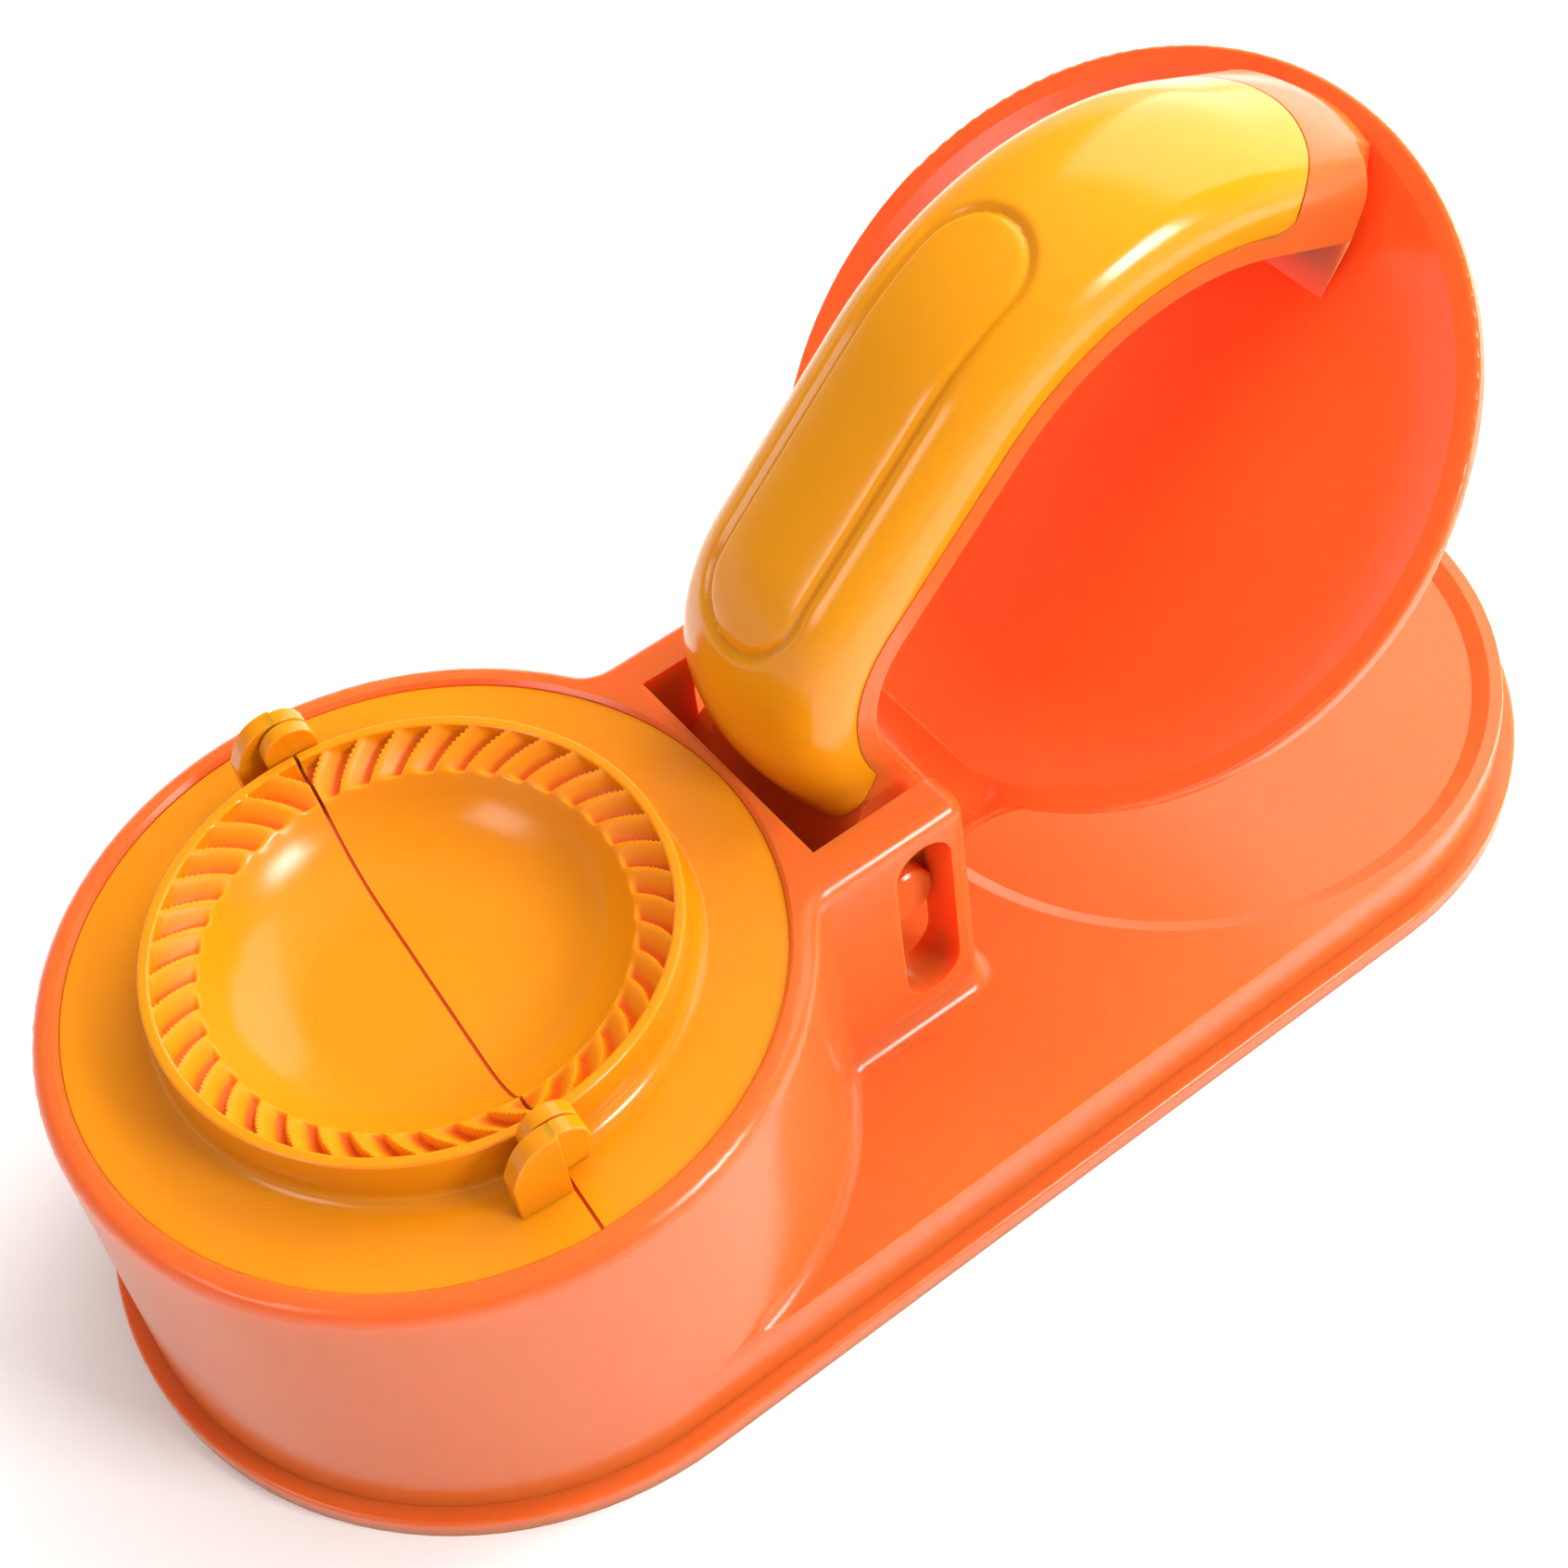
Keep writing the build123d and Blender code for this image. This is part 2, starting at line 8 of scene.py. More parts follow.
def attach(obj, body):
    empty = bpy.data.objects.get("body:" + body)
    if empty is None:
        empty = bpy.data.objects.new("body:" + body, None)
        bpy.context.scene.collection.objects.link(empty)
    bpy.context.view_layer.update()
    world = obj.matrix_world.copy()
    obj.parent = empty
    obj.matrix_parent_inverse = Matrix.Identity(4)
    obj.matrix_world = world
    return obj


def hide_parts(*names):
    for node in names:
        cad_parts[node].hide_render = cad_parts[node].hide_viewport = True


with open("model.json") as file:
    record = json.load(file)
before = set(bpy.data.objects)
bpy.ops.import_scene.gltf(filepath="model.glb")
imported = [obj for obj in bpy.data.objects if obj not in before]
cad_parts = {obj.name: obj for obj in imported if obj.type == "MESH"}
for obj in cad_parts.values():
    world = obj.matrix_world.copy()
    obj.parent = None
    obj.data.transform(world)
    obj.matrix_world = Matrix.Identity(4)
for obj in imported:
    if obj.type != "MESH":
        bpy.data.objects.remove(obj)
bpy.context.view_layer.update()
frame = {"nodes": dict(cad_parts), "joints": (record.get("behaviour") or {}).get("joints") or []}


# ---------------------------------------------------------------- base shell
# One thin-walled injection moulding in orange polypropylene, open below. It carries the pressing
# bed at one end and the drum at the other, with the two slotted posts between them.
def linear(colour):
    """One sRGB hex colour as linear red, green, blue and alpha."""
    parts = [int(colour[i:i + 2], 16) / 255 for i in (0, 2, 4)]
    return [c / 12.92 if c <= 0.04045 else ((c + 0.055) / 1.055) ** 2.4 for c in parts] + [1.0]


def add_node(tree, kind, settings={}, links={}):
    """One shader node with its settings, its input values and what feeds them."""
    node = tree.nodes.new(kind)
    for name, value in settings.items():
        if name in node.inputs:
            node.inputs[name].default_value = value
        else:
            setattr(node, name, value)
    for name, source in links.items():
        tree.links.new(source, node.inputs[name])
    return node


def moulded_plastic(name, body, flow, soak, scatter, gloss, painted_shade_colour=None):
    """Injection-moulded polypropylene, which lets light soak in as far as scatter says, in millimetres of
    red, green and blue.
    Its colour wanders between body and flow, and deep in the crimp troughs it is darkened towards a redder
    colour, as painted shade."""
    flow_cloud, worn_patch, orange_peel = 45.45, 16.67, 2.38  # mm
    material = bpy.data.materials.new(name)
    material.use_nodes = True
    tree = material.node_tree
    shader = tree.nodes["Principled BSDF"]
    place = add_node(tree, "ShaderNodeTexCoord").outputs["Object"]

    # Flow clouds: the melt's colour is never quite even
    cloud = add_node(tree, "ShaderNodeTexNoise", {"Scale": 1000 / flow_cloud, "Detail": 3.0},
                     {"Vector": place})
    tone = add_node(tree, "ShaderNodeValToRGB", {}, {"Fac": cloud.outputs["Fac"]})
    low, high = tone.color_ramp.elements
    low.position, low.color = 0.3, linear(flow)
    high.position, high.color = 0.7, linear(body)
    colour = tone.outputs["Color"]
    # Painted shade: deep in the crimp troughs the colour is mixed towards a darker, redder colour,
    # standing in for the shade there
    if painted_shade_colour:
        trough_share = add_node(tree, "ShaderNodeAttribute", {"attribute_name": "trough"}).outputs["Fac"]
        shade_mixed = add_node(tree, "ShaderNodeMix", {"data_type": "RGBA"})
        shade_mixed.inputs[7].default_value = linear(painted_shade_colour)
        tree.links.new(trough_share, shade_mixed.inputs[0])
        tree.links.new(colour, shade_mixed.inputs[6])
        colour = shade_mixed.outputs[2]
    tree.links.new(colour, shader.inputs["Base Color"])

    # Worn patches: handling leaves the polish duller in places, which breaks up the reflections
    wear = add_node(tree, "ShaderNodeTexNoise", {"Scale": 1000 / worn_patch, "Detail": 4.0},
                    {"Vector": place})
    dull = add_node(tree, "ShaderNodeMapRange",
                    {"From Min": 0.3, "From Max": 0.7, "To Min": gloss - 0.04, "To Max": gloss + 0.05},
                    {"Value": wear.outputs["Fac"]})
    tree.links.new(dull.outputs["Result"], shader.inputs["Roughness"])

    # Orange peel: the waviness of moulded faces, drawn two or three times too coarse so that it shows
    peel = add_node(tree, "ShaderNodeTexNoise", {"Scale": 1000 / orange_peel, "Detail": 2.0},
                    {"Vector": place})
    bump = add_node(tree, "ShaderNodeBump", {"Strength": 0.12, "Distance": 0.00012},
                    {"Height": peel.outputs["Fac"]})
    tree.links.new(bump.outputs["Normal"], shader.inputs["Normal"])
    shader.inputs["IOR"].default_value = 1.49
    shader.inputs["Subsurface Weight"].default_value = soak
    shader.inputs["Subsurface Radius"].default_value = scatter
    shader.inputs["Subsurface Scale"].default_value = 0.001
    return material


def merged_copy(node):
    """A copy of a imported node's loose triangles, merged into one skin."""
    mesh = bmesh.new()
    mesh.from_mesh(frame["nodes"][node].data)
    bmesh.ops.remove_doubles(mesh, verts=mesh.verts, dist=2e-6)
    return mesh


def shade_bends(mesh, sharpest):
    """Shades the faces smooth, and keeps the edges crisp that bend by sharpest degrees or more."""
    for face in mesh.faces:
        face.smooth = True
    for edge in mesh.edges:
        edge.smooth = len(edge.link_faces) == 2 and edge.calc_face_angle() < radians(sharpest)


def put_in_scene(name, mesh, material, evenness=50):
    """A finished mesh in the scene, its shading led by its larger faces, more so with more evenness."""
    data = bpy.data.meshes.new(name)
    mesh.to_mesh(data)
    data.materials.append(material)
    piece = bpy.data.objects.new(name, data)
    bpy.context.scene.collection.objects.link(piece)
    even_shading = piece.modifiers.new("even_shading", "WEIGHTED_NORMAL")
    even_shading.keep_sharp = True
    even_shading.weight = evenness
    return piece


# Polished in the mould and translucent: soft highlights, and shadows that glow red
orange = moulded_plastic("moulded polypropylene orange", "E2682B", "DE6528", 0.85, (11.0, 1.4, 0.4), 0.22)

base_mesh = merged_copy("base_shell")
bmesh.ops.dissolve_degenerate(base_mesh, edges=base_mesh.edges, dist=1e-6)
shade_bends(base_mesh, 24)
base = put_in_scene("base_moulding", base_mesh, orange, 80)
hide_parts("base_shell")
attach(base, "base")

# ---------------------------------------------------------------- folding mould
# One dish in yellow polypropylene, cut in two along its seam and hinged at both ends of it by
# stubs in eyes, with a crimped ring inside its collar and a polished bowl in the middle.
# Its sizes are in mm: radii from the mould's middle, and heights over the table.
joints = {joint["name"]: joint for joint in frame["joints"]}
fold = joints["mould_fold"]
mould_place = (fold["pos_m"][0] * 1000, 0, 0)
seam_turn = -atan2(fold["axis"][0], fold["axis"][1])
hinge_height = fold["pos_m"][2] * 1000
half_seam = 0.3
land = hinge_height - 0.2
flange_radius, flange_top, flange_underside = 55.38, land - 9.4, land - 11.7
collar_radius, collar_inside = 41.0, 38.8
bowl_floor, floor_underside = land - 13.8, land - 16.0
bowl_flat, bowl_bend = 17.0, 17.65
lip_radius, lip_height = 33.19, land - 3.54
crimp_rim, crimp_top, crimp_slope = 39.2, land - 0.25, 0.548


def crimp_height(radius):
    """Height of the crimped ring's crests, which slope down from the collar to the bowl."""
    return crimp_top - (crimp_rim - radius) * crimp_slope


def rounded_outline(corners, turn_step=9):
    """Points of an outline given as (x, y, radius of the corner), with an arc in each corner."""
    points = []
    for i, (x, y, radius) in enumerate(corners):
        here = Vector((x, y))
        if radius == 0 or i in (0, len(corners) - 1):
            points.append(here)
            continue
        back = (Vector(corners[i - 1][:2]) - here).normalized()
        on = (Vector(corners[i + 1][:2]) - here).normalized()
        half = back.angle(on) / 2
        reach = radius / tan(half)
        centre = here + (back + on).normalized() * radius / sin(half)
        start = here + back * reach - centre
        turn = start.angle_signed(here + on * reach - centre)
        steps = max(2, int(abs(degrees(turn)) / turn_step))
        points += [centre + Matrix.Rotation(-turn * k / steps, 2) @ start for k in range(steps + 1)]
    return points


def turned(outline, steps, wedges=24):
    """A mesh turned about the upright axis from an outline of radius and height, wedge by wedge."""
    mesh = bmesh.new()
    points = [mesh.verts.new((p[0], 0, p[1])) for p in outline]
    edges = [mesh.edges.new(pair) for pair in zip(points, points[1:])]
    wedge_angle = 2 * pi / wedges
    bmesh.ops.spin(mesh, geom=points + edges, cent=(0, 0, 0), axis=(0, 0, 1), angle=wedge_angle,
                   steps=steps // wedges)
    wedge = mesh.verts[:] + mesh.edges[:] + mesh.faces[:]
    bmesh.ops.spin(mesh, geom=wedge, cent=(0, 0, 0), axis=(0, 0, 1), angle=wedge_angle * (wedges - 1),
                   steps=wedges - 1, use_duplicate=True)
    bmesh.ops.remove_doubles(mesh, verts=mesh.verts, dist=1e-4)
    bmesh.ops.recalc_face_normals(mesh, faces=mesh.faces)
    return mesh


def plate(outline, low, high, rounding=0.0):
    """A flat outline in X and Z drawn out along Y from low to high, its rims rounded over."""
    mesh = bmesh.new()
    face = mesh.faces.new([mesh.verts.new((x, low, z)) for x, z in outline])
    drawn = bmesh.ops.extrude_face_region(mesh, geom=[face])["geom"]
    far_side = [item for item in drawn if isinstance(item, bmesh.types.BMVert)]
    bmesh.ops.translate(mesh, vec=(0, high - low, 0), verts=far_side)
    bmesh.ops.recalc_face_normals(mesh, faces=mesh.faces)
    if rounding:
        rims = [e for e in mesh.edges if e.is_manifold and e.calc_face_angle() > 0.6]
        bmesh.ops.bevel(mesh, geom=rims, offset=rounding, segments=3, affect="EDGES", profile=0.5,
                        material=-1)
    return mesh


def joined(meshes):
    """Meshes drawn in millimetres as one mesh in metres."""
    whole = bmesh.new()
    for mesh in meshes:
        part = bpy.data.meshes.new("part")
        mesh.to_mesh(part)
        whole.from_mesh(part)
        bpy.data.meshes.remove(part)
    bmesh.ops.scale(whole, vec=(0.001, 0.001, 0.001), verts=whole.verts)
    return whole


def ease(share):
    """0 up to a share of 0, 1 from a share of 1, and a soft rise between them."""
    share = min(max(share, 0), 1)
    return share * share * (3 - 2 * share)


# Polished on the flange and in the bowl, which gives clear glints. The lap under the seam has a redder
# yellow, painted glow for light shining through the thin plastic into the shaded seam. Satin on the
# crimps shows them as soft lobes, with painted shade, redder, deep between them
yellow = moulded_plastic("moulded polypropylene yellow", "DE880C", "DA850B", 0.5, (2.5, 1.0, 0.2), 0.2)
# Painted glow: this redder yellow stands in for light shining through the thin plastic into the shaded
# seam
seam_glow_yellow = moulded_plastic("moulded polypropylene yellow, painted seam glow", "F04E0E", "EC480A", 0.5,
                            (2.5, 0.6, 0.2), 0.4)
# Painted shade: this satin yellow is darkened towards a deep red in the crimp troughs
satin = moulded_plastic("moulded polypropylene yellow, satin", "E48A0C", "E0870B", 0.5,
                        (2.5, 1.0, 0.2), 0.4, "E05A04")
satin.node_tree.nodes["Principled BSDF"].inputs["Specular IOR Level"].default_value = 0.25

# Dish: its outline runs from the bowl's middle out over the collar and flange and back underneath
bowl_wall = [(bowl_flat + bowl_bend * sin(radians(a)), bowl_floor + bowl_bend * (1 - cos(radians(a))))
             for a in range(2, 60, 4)]
lip = [(*bowl_wall[-1], 0), (lip_radius, lip_height, 4), (34.6, crimp_height(34.6), 0)]
dish_outline = [(r, bowl_floor) for r in (0, 6, 12, 16)] + bowl_wall[:-1] + rounded_outline(lip, 4)
dish_outline += [(r, crimp_height(r)) for r in (35.1, 35.7, 36.3, 36.9, 37.5, 38.1, 38.7, 39.12)]
dish_outline += rounded_outline([
    (crimp_rim, crimp_top, 0), (39.5, land, 0.25), (collar_radius, land, 0.5),
    (collar_radius, flange_top, 2.5), (flange_radius, flange_top, 0.3),
    (flange_radius, flange_top - 1.6, 0.5), (54.4, flange_underside, 0),
    (collar_inside, flange_underside, 0), (collar_inside, 66.2, 0.6), (33, 63.4, 3), (27, 57.4, 4),
    (bowl_flat, floor_underside, 6), (0, floor_underside, 0)])
dish = turned(dish_outline, steps=1080)

# Crimps: from each hinge round to the other, every trough falls gently and rises steeply. They
# slant, get deeper towards the collar, and run out on the bowl's lip
crimp_pitch, first_crimp = 8.73, 0.7064  # degrees
fall_start, fall_end, rise_start = 0.1, 0.74, 0.86  # shares of the pitch
slant_rate, slant_easing = 20.7, 6.7  # degrees for a centimetre inwards, and for its square
crimp_depth, deepening, deepening_start = 1.5, 0.2, 33.8
runout_start, runout_width = 32.6, 1.3
crimp_edge = crimp_rim - 0.05
# Painted shade: each vertex deep in a trough gets a share that darkens the satin's colour there
trough = dish.verts.layers.float.new("trough")
for v in dish.verts:
    radius = hypot(v.co.x, v.co.y)
    if not 32 < radius < crimp_edge or v.co.z < crimp_height(radius) - 0.8:
        continue
    inwards = (collar_radius + 0.1 - radius) / 10
    slant = slant_rate * inwards - slant_easing * inwards ** 2
    share = (degrees(abs(atan2(v.co.x, v.co.y))) + slant - first_crimp) / crimp_pitch % 1
    fall = ease((share - fall_start) / (fall_end - fall_start))
    rise = ease((share - rise_start) / (1 - rise_start))
    depth = (fall - rise) * ease((radius - runout_start) / runout_width)
    v.co.z -= depth * (crimp_depth + deepening * (radius - deepening_start))
    v[trough] = depth ** 3 * min(max((crimp_rim - radius) / 0.5, 0), 1)
for face in dish.faces:
    middle = face.calc_center_median()
    if 32.9 < hypot(middle.x, middle.y) < crimp_edge and middle.z > 63.8 and face.normal.z > 0.2:
        face.material_index = 2

# Hinge: the right half's eyes stand on webs at both ends of the seam. The left half has the outer
# eyes on gussets, with stubs that reach into the right half's eyes
eye_radius, stub_radius, hinge_foot = 4.5, 2.0, 61.0
inner_eye, outer_eye, gusset_span, stub_span = (41.3, 44.0), (44.3, 47.1), (44.3, 47.6), (41.6, 44.5)


def hinge_round(radius, stop=360, step=6):
    """Points round the hinge's axis, in X and Z."""
    return [(radius * cos(radians(a)), hinge_height + radius * sin(radians(a)))
            for a in range(0, stop, step)]


webbed_eye = [(eye_radius, hinge_foot)] + hinge_round(eye_radius, 270)
webbed_eye += [(half_seam, 66.5), (half_seam, hinge_foot)]
gusset = rounded_outline([(-half_seam, hinge_foot, 0), (-half_seam, 75.5, 0), (-5.6, 75.2, 6.5),
                          (-8.6, 69, 1.2), (-8.6, hinge_foot, 0)])
right_hinge = [(webbed_eye, inner_eye, 0.35)]
left_hinge = [(hinge_round(eye_radius), outer_eye, 0.35), (gusset, gusset_span, 0.3),
              (hinge_round(stub_radius, step=15), stub_span, 0)]

# Lap: a thin lip on the left half, which closes the seam just under the dish's skin. It wears the redder
# seam yellow, as painted glow in the shaded seam
lap_outline = [(0, bowl_floor - 0.4), (16, bowl_floor - 0.4)]
lap_outline += [(r + 0.2, z - 0.35) for r, z in bowl_wall if z < 64.5]
lap_outline += [(35, 65.2), (38.8, 67.2), (collar_radius, flange_top - 0.5), (55, flange_top - 0.5),
                (55, flange_underside + 0.2), (38.6, flange_underside + 0.2), (38.6, 66.1), (33, 63.3),
                (27, 57.3), (bowl_flat, floor_underside + 0.1), (0, floor_underside + 0.1)]
laps = []
for end in (-1, 1):
    lap = plate([(end * r, z) for r, z in lap_outline], -half_seam, half_seam - 0.03)
    bmesh.ops.rotate(lap, cent=(0, 0, 0), matrix=Matrix.Rotation(pi / 2, 3, "Z"), verts=lap.verts)
    for face in lap.faces:
        face.material_index = 1
    laps.append(lap)

# Halves: the dish cut at the seam, with the hinge and lap that belong to each
for side, hinge, extras, name, node, body in (
        (-1, left_hinge, laps, "left_mould_half", "mould_half_left", "mould_left"),
        (1, right_hinge, [], "right_mould_half", "mould_half_right", "mould_right")):
    half = dish.copy()
    bmesh.ops.bisect_plane(half, geom=half.verts[:] + half.edges[:] + half.faces[:], dist=1e-4,
                           plane_co=(side * half_seam, 0, 0), plane_no=(-side, 0, 0), clear_outer=True)
    bmesh.ops.holes_fill(half, edges=[e for e in half.edges if e.is_boundary], sides=0)
    plates = [plate(outline, end * near, end * far, rounding)
              for end in (-1, 1) for outline, (near, far), rounding in hinge]
    meshes = [half] + plates + extras
    for mesh in meshes:
        bmesh.ops.rotate(mesh, cent=(0, 0, 0), matrix=Matrix.Rotation(seam_turn, 3, "Z"), verts=mesh.verts)
        bmesh.ops.translate(mesh, vec=mould_place, verts=mesh.verts)
    half_mesh = joined(meshes)
    shade_bends(half_mesh, 40)
    piece = put_in_scene(name, half_mesh, yellow)
    piece.data.materials.append(seam_glow_yellow)
    piece.data.materials.append(satin)
    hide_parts(node)
    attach(piece, body)

# ---------------------------------------------------------------- slot pin
# Round pin moulded in the lever's orange polypropylene. It lies across the neck, its ends slide up
# and down in the slots of the two posts, and the lever turns on it.
pin_mesh = merged_copy("pivot_pin")
bmesh.ops.dissolve_degenerate(pin_mesh, edges=pin_mesh.edges, dist=1e-6)
shade_bends(pin_mesh, 28)
pin = put_in_scene("slot_pin", pin_mesh, orange, 80)
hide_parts("pivot_pin")
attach(pin, "pin")

# ---------------------------------------------------------------- press lever
# One orange moulding: the dished disc that flattens the dough, the neck with the pin's bore, and
# the frame of the arch for the hand, which springs from the neck and ends in a leg in the dish.
swing = joints["lever_pivot"]
tilt = radians(-swing["range_deg"][0])
along_lever, above_lever = Vector((cos(tilt), 0, sin(tilt))), Vector((-sin(tilt), 0, cos(tilt)))
disc_reach, disc_drop = 77.5, 5.0  # mm from the pivot, along and below the lever
disc_centre = Vector(swing["pos_m"]) * 1000 + along_lever * disc_reach - above_lever * disc_drop
mouth_radius, mouth_step = 59.2, 0.46  # mm

# The disc's flat land is run out into the dish, and its rounded rim is shaded smooth all round
lever_mesh = merged_copy("press_lever")
mouth, rim = [], set()
for v in lever_mesh.verts:
    place = v.co * 1000 - disc_centre
    radius, height = hypot(place.dot(along_lever), place.y), place.dot(above_lever)
    if abs(radius - mouth_radius) < 0.15 and -0.6 < height < 0.1:
        v.co -= above_lever * (mouth_step / 1000 if height > -0.1 else 0)
        mouth.append(v)
    elif radius > 61.9 and -3.1 < height < 0.1:
        rim.add(v)
bmesh.ops.remove_doubles(lever_mesh, verts=mouth, dist=1.5e-4)
rim_edges = [e for e in lever_mesh.edges if rim.issuperset(e.verts)]
bmesh.ops.dissolve_degenerate(lever_mesh, edges=lever_mesh.edges, dist=1e-6)
shade_bends(lever_mesh, 28)
for edge in rim_edges:
    if edge.is_valid:
        edge.smooth = True
lever = put_in_scene("lever_moulding", lever_mesh, orange, 80)
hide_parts("press_lever")
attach(lever, "lever")

# ---------------------------------------------------------------- grip cover
# Polished yellow shell clipped over the crown of the arch, flush with the frame round it, with a
# rounded tongue at the far end and a soft channel round the sunk pad for the palm.
# Its sizes are in mm: runs along the arch, and heights over the arch's parting line.
half_width, side_rise, shoulder, crown_bend, crown_height = 18.0, 2.0, 9.02, 33.83, 12.7
tongue_tip, tongue_bend, tongue_foot, foot_bend = 7.0, 24.25, 10.8, 10.0
heel_corner, heel_slope = (-56.0, 24.0), 13 / 32
pad_middle, pad_half_length, pad_half_width, pad_sink = -18.1, 27.9, 11.0, 0.4
channel_inset, channel_width, channel_depth = 0.9, 0.75, 0.75
edge_rounding, rounding_width, wall = 0.35, 0.5, 2.0
rows = 300

# Polished harder than the mould: crisp highlights, and less glow than the thick orange. Its yellow is a
# little lighter than the mould's, as painted light for the stronger light that falls on the cover
painted_lighter_yellow = moulded_plastic("polished polypropylene yellow", "E2930F", "DE900E", 0.5,
                                (3.0, 1.2, 0.2), 0.17)

# The parting line, as places along the lever and above the disc's rim, from far leg to near leg
arch = rounded_outline([(47.6, 1, 0), (23.5, 44.4, 50), (-57.3, 39.3, 23), (-66.9, -2, 0)], 1.5)
runs = [0.0]
for one, two in zip(arch, arch[1:]):
    runs.append(runs[-1] + (two - one).length)


def on_arch(run, height):
    """The place at a run along the arch and a height over its parting line, with its outward direction."""
    k = min(max(sum(1 for r in runs if r < run), 1), len(runs) - 1)
    share = (run - runs[k - 1]) / (runs[k] - runs[k - 1])
    before = arch[k] - arch[max(k - 2, 0)] if k > 1 else arch[1] - arch[0]
    after = arch[min(k + 1, len(arch) - 1)] - arch[k - 1]
    heading = before.normalized().lerp(after.normalized(), share).normalized()
    out = Vector((heading[1], -heading[0]))
    return arch[k - 1].lerp(arch[k], share) + out * height, out


def over_heel(run, height):
    """How far a place on the arch is above the slant that ends the cover at the heel."""
    along, above = on_arch(run, height)[0]
    return above - heel_corner[1] - heel_slope * (along - heel_corner[0])


# Section of the cover: place across, height over the parting line, and slope of the skin
half_section = [(half_width, h, 0.0) for h in (0, 0.1, 0.3, 0.7, 1.3, side_rise)]
half_section += [(half_width - shoulder + shoulder * cos(a), side_rise + shoulder * sin(a), a)
                 for a in [radians(3.5 * k) for k in range(1, 21)]]
half_section += [(crown_bend * cos(a), crown_height - crown_bend + crown_bend * sin(a), a)
                 for a in [radians(70.2 + 0.66 * k) for k in range(31)]]
section = half_section[:-1] + [(-x, h, pi - a) for x, h, a in reversed(half_section)]

# Where the skin starts at the tongue and finishes at the heel, for each point of the section
ends = []
for x, h, _ in section:
    start = tongue_tip + tongue_bend - sqrt(tongue_bend ** 2 - x * x)
    if h < foot_bend:
        start = max(start, tongue_foot + foot_bend - sqrt(foot_bend ** 2 - (foot_bend - h) ** 2))
    finish = 110.0
    while over_heel(finish, h) > 0:
        finish += 0.1
    ends.append((start, finish))

# Skin: a grid laid over the arch, with close rows at both ends for the rounded edges
cover_mesh = bmesh.new()
bmesh.ops.create_grid(cover_mesh, x_segments=len(section) - 1, y_segments=rows, size=1)
close_rows = (0, 0.08, 0.25, 0.5)
for v in cover_mesh.verts:
    k = round((v.co.x + 1) / 2 * (len(section) - 1))
    row = (v.co.y + 1) / 2 * rows
    x, h, slope = section[k]
    start, finish = ends[k]
    run = start + (finish - start) * row / rows
    if row < 3.5:
        run = start + close_rows[round(row)]
    elif row > rows - 3.5:
        run = finish - close_rows[round(rows - row)]
    place, out = on_arch(run, h)
    from_edge = min(run - start, finish - run, h if h < 1 else 1)
    drop = edge_rounding * (1 - min(from_edge / rounding_width, 1)) ** 2
    from_pad = pad_half_width - hypot(max(abs(place[0] - pad_middle) - pad_half_length, 0), x)
    if h > 8 and from_pad > -1.5:
        drop += pad_sink / (1 + exp(-4 * (from_pad - 0.6)))
        drop += channel_depth * exp(-((from_pad - channel_inset) / channel_width) ** 2)
    place = place - out * drop * sin(slope)
    across = Vector((0, -x + drop * cos(slope), 0))
    v.co = disc_centre + along_lever * place[0] + above_lever * place[1] + across
bmesh.ops.recalc_face_normals(cover_mesh, faces=cover_mesh.faces)
bmesh.ops.solidify(cover_mesh, geom=cover_mesh.faces[:], thickness=wall)
cover_mesh = joined([cover_mesh])
shade_bends(cover_mesh, 40)
cover = put_in_scene("cover_moulding", cover_mesh, painted_lighter_yellow)
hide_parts("grip_cover")
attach(cover, "lever")

# ---------------------------------------------------------------- table
# A board with matt white paint, which gives soft contact shadows and bounces light back up. It is
# six metres wide, so that the main view has no horizon.
table_half_width = 3.0
white_paint = bpy.data.materials.new("white painted board")
white_paint.use_nodes = True
white_paint.node_tree.nodes["Principled BSDF"].inputs["Base Color"].default_value = linear("F4F2F0")
white_paint.node_tree.nodes["Principled BSDF"].inputs["Roughness"].default_value = 0.9
table_mesh = bmesh.new()
bmesh.ops.create_grid(table_mesh, x_segments=1, y_segments=1, size=table_half_width)
table_data = bpy.data.meshes.new("table")
table_mesh.to_mesh(table_data)
table_data.materials.append(white_paint)
table = bpy.data.objects.new("table", table_data)
bpy.context.scene.collection.objects.link(table)

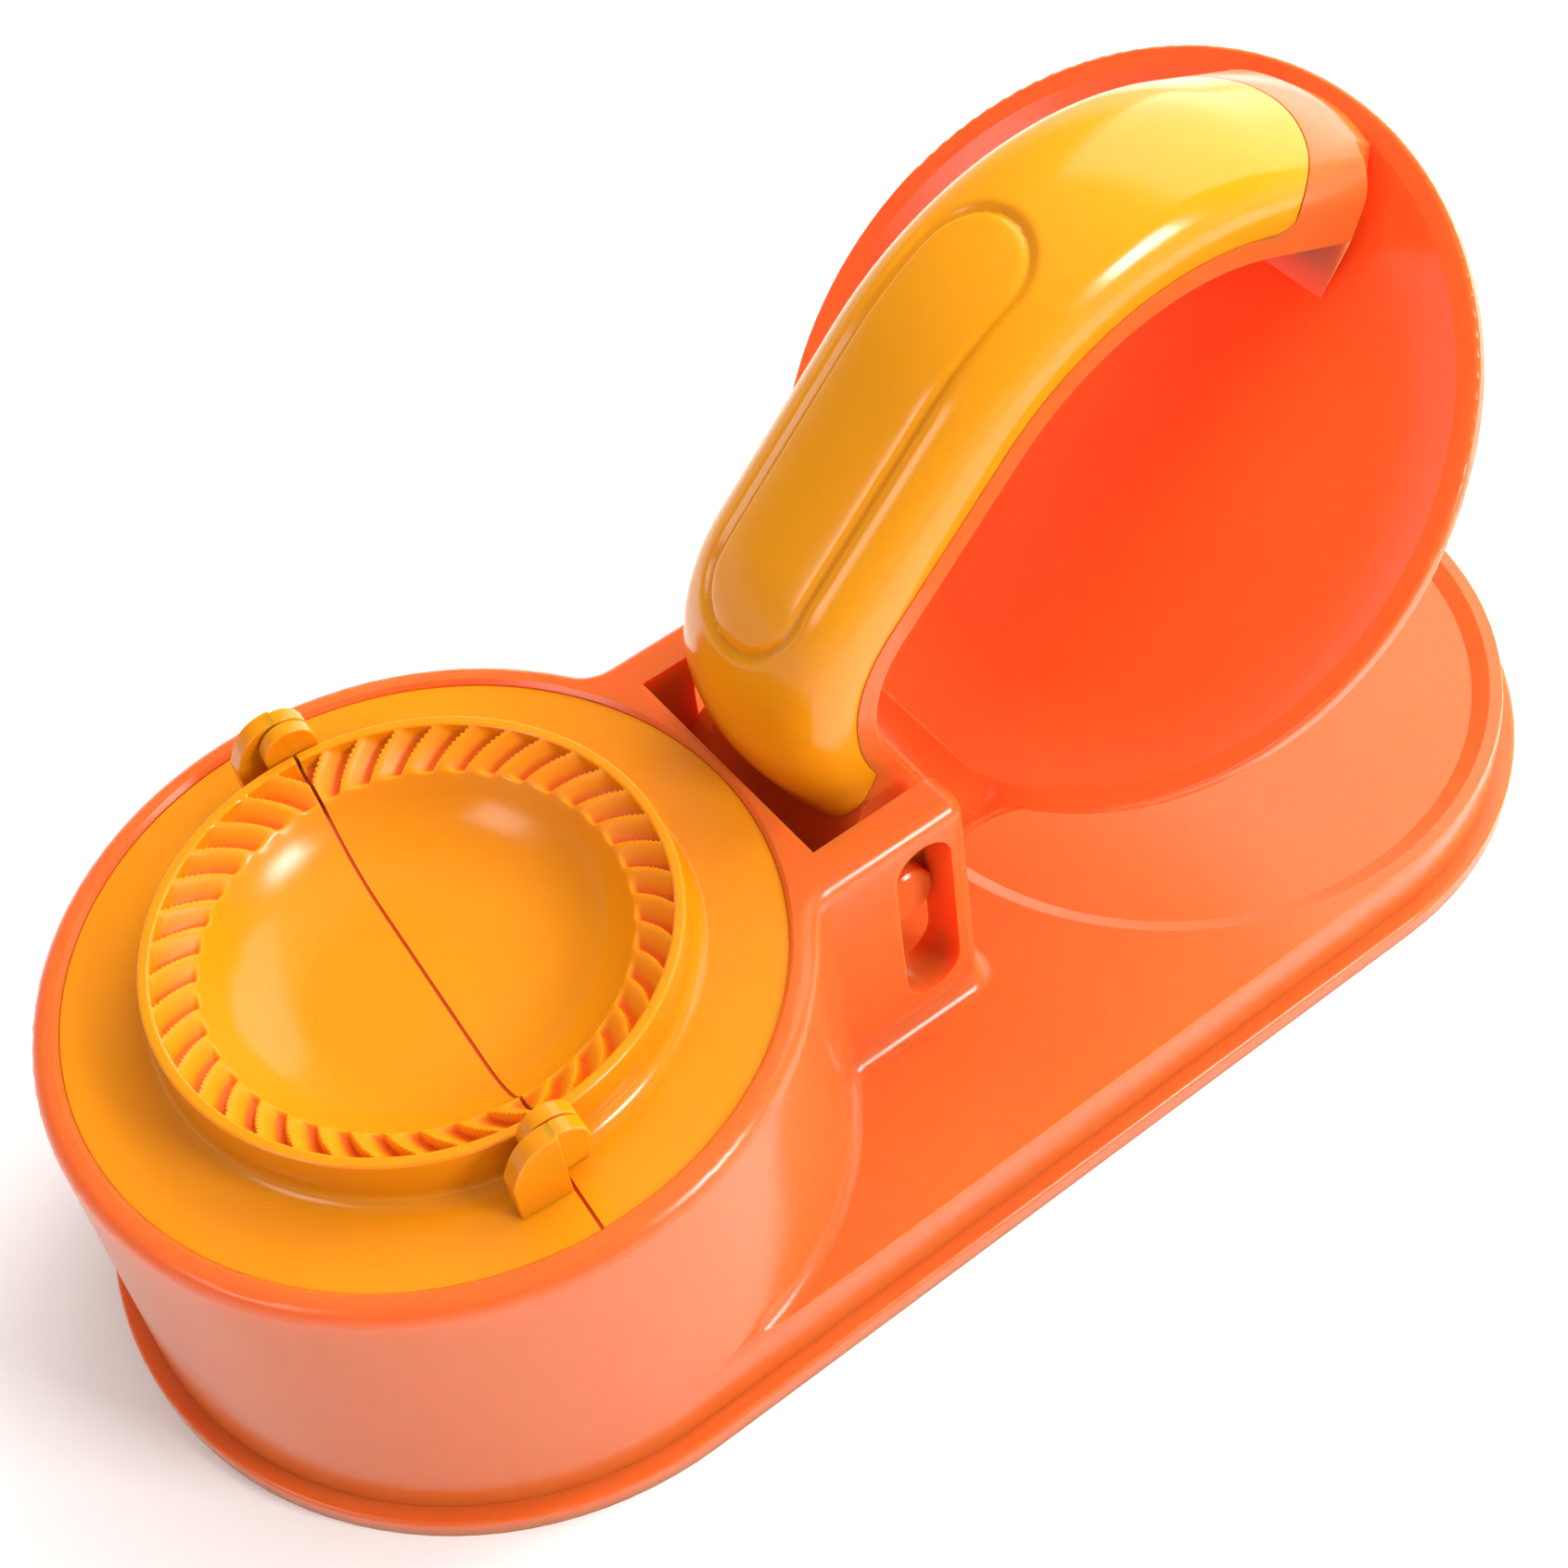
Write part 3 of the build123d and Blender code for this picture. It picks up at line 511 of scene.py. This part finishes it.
# ---------------------------------------------------------------- studio lights
# An even white tent with five softboxes. In reflections the tent is bright at the level of the
# table and dim overhead, and only the front, left and right softboxes show, as crisp highlights.
fill_light, horizon_light, overhead_light = 0.5, 1.0, 0.12
horizon, overhead = 0.02, 0.3  # upward share of the direction
tent = bpy.data.worlds.new("studio")
bpy.context.scene.world = tent
tent.use_nodes = True
tree = tent.node_tree
sky = tree.nodes["Background"]
sky.inputs["Color"].default_value = (1, 1, 1, 1)
direction = add_node(tree, "ShaderNodeTexCoord").outputs["Generated"]
upward = add_node(tree, "ShaderNodeSeparateXYZ", {}, {"Vector": direction}).outputs["Z"]
reflected = add_node(tree, "ShaderNodeMapRange",
                     {"From Min": horizon, "From Max": overhead, "To Min": horizon_light,
                      "To Max": overhead_light}, {"Value": upward})
mirrored = add_node(tree, "ShaderNodeLightPath").outputs["Is Glossy Ray"]
brightness = add_node(tree, "ShaderNodeMix", {"data_type": "FLOAT"})
brightness.inputs[2].default_value = fill_light
tree.links.new(mirrored, brightness.inputs[0])
tree.links.new(reflected.outputs["Result"], brightness.inputs[3])
tree.links.new(brightness.outputs[0], sky.inputs["Strength"])


def softbox(name, place, width, watts):
    """A square studio lamp at a place, turned to face the press."""
    lamp = bpy.data.lights.new(name, "AREA")
    lamp.shape, lamp.size, lamp.energy = "SQUARE", width, watts
    holder = bpy.data.objects.new(name, lamp)
    bpy.context.scene.collection.objects.link(holder)
    holder.location = place
    holder.rotation_euler = (Vector((0, 0, 0.05)) - Vector(place)).to_track_quat("-Z", "Y").to_euler()
    return holder


softbox("front", (0.4, -0.75, 0.57), 0.3, 7.0)
softbox("left", (-0.81, -0.04, 0.63), 0.35, 1.6)
softbox("right", (0.7, 0.2, 0.47), 0.9, 4.5)
softbox("top", (0.3, 0.1, 0.85), 0.9, 5.5).visible_glossy = False
softbox("far right", (0.95, 0.1, 0.6), 0.9, 11.0).visible_glossy = False

# ---------------------------------------------------------------- camera
# Held above the drum's front corner, looking down along the press, with a slight roll. A slightly
# long lens keeps the near drum and the far disc in proportion.
camera_place = Vector((-0.14591, -0.23541, 0.38276))
camera_target = Vector((-0.00601, 0.00271, 0.04561))
camera_roll = radians(-8.52)
camera = bpy.data.objects.new("camera", bpy.data.cameras.new("camera"))
bpy.context.scene.collection.objects.link(camera)
bpy.context.scene.camera = camera
camera.data.sensor_width, camera.data.lens = 36.0, 61.0552
camera.data.clip_start, camera.data.clip_end = 0.01, 20
level = (camera_target - camera_place).to_track_quat("-Z", "Y").to_matrix().to_4x4()
camera.matrix_world = Matrix.Translation(camera_place) @ level @ Matrix.Rotation(camera_roll, 4, "Z")
bpy.context.scene.view_settings.view_transform = "Standard"
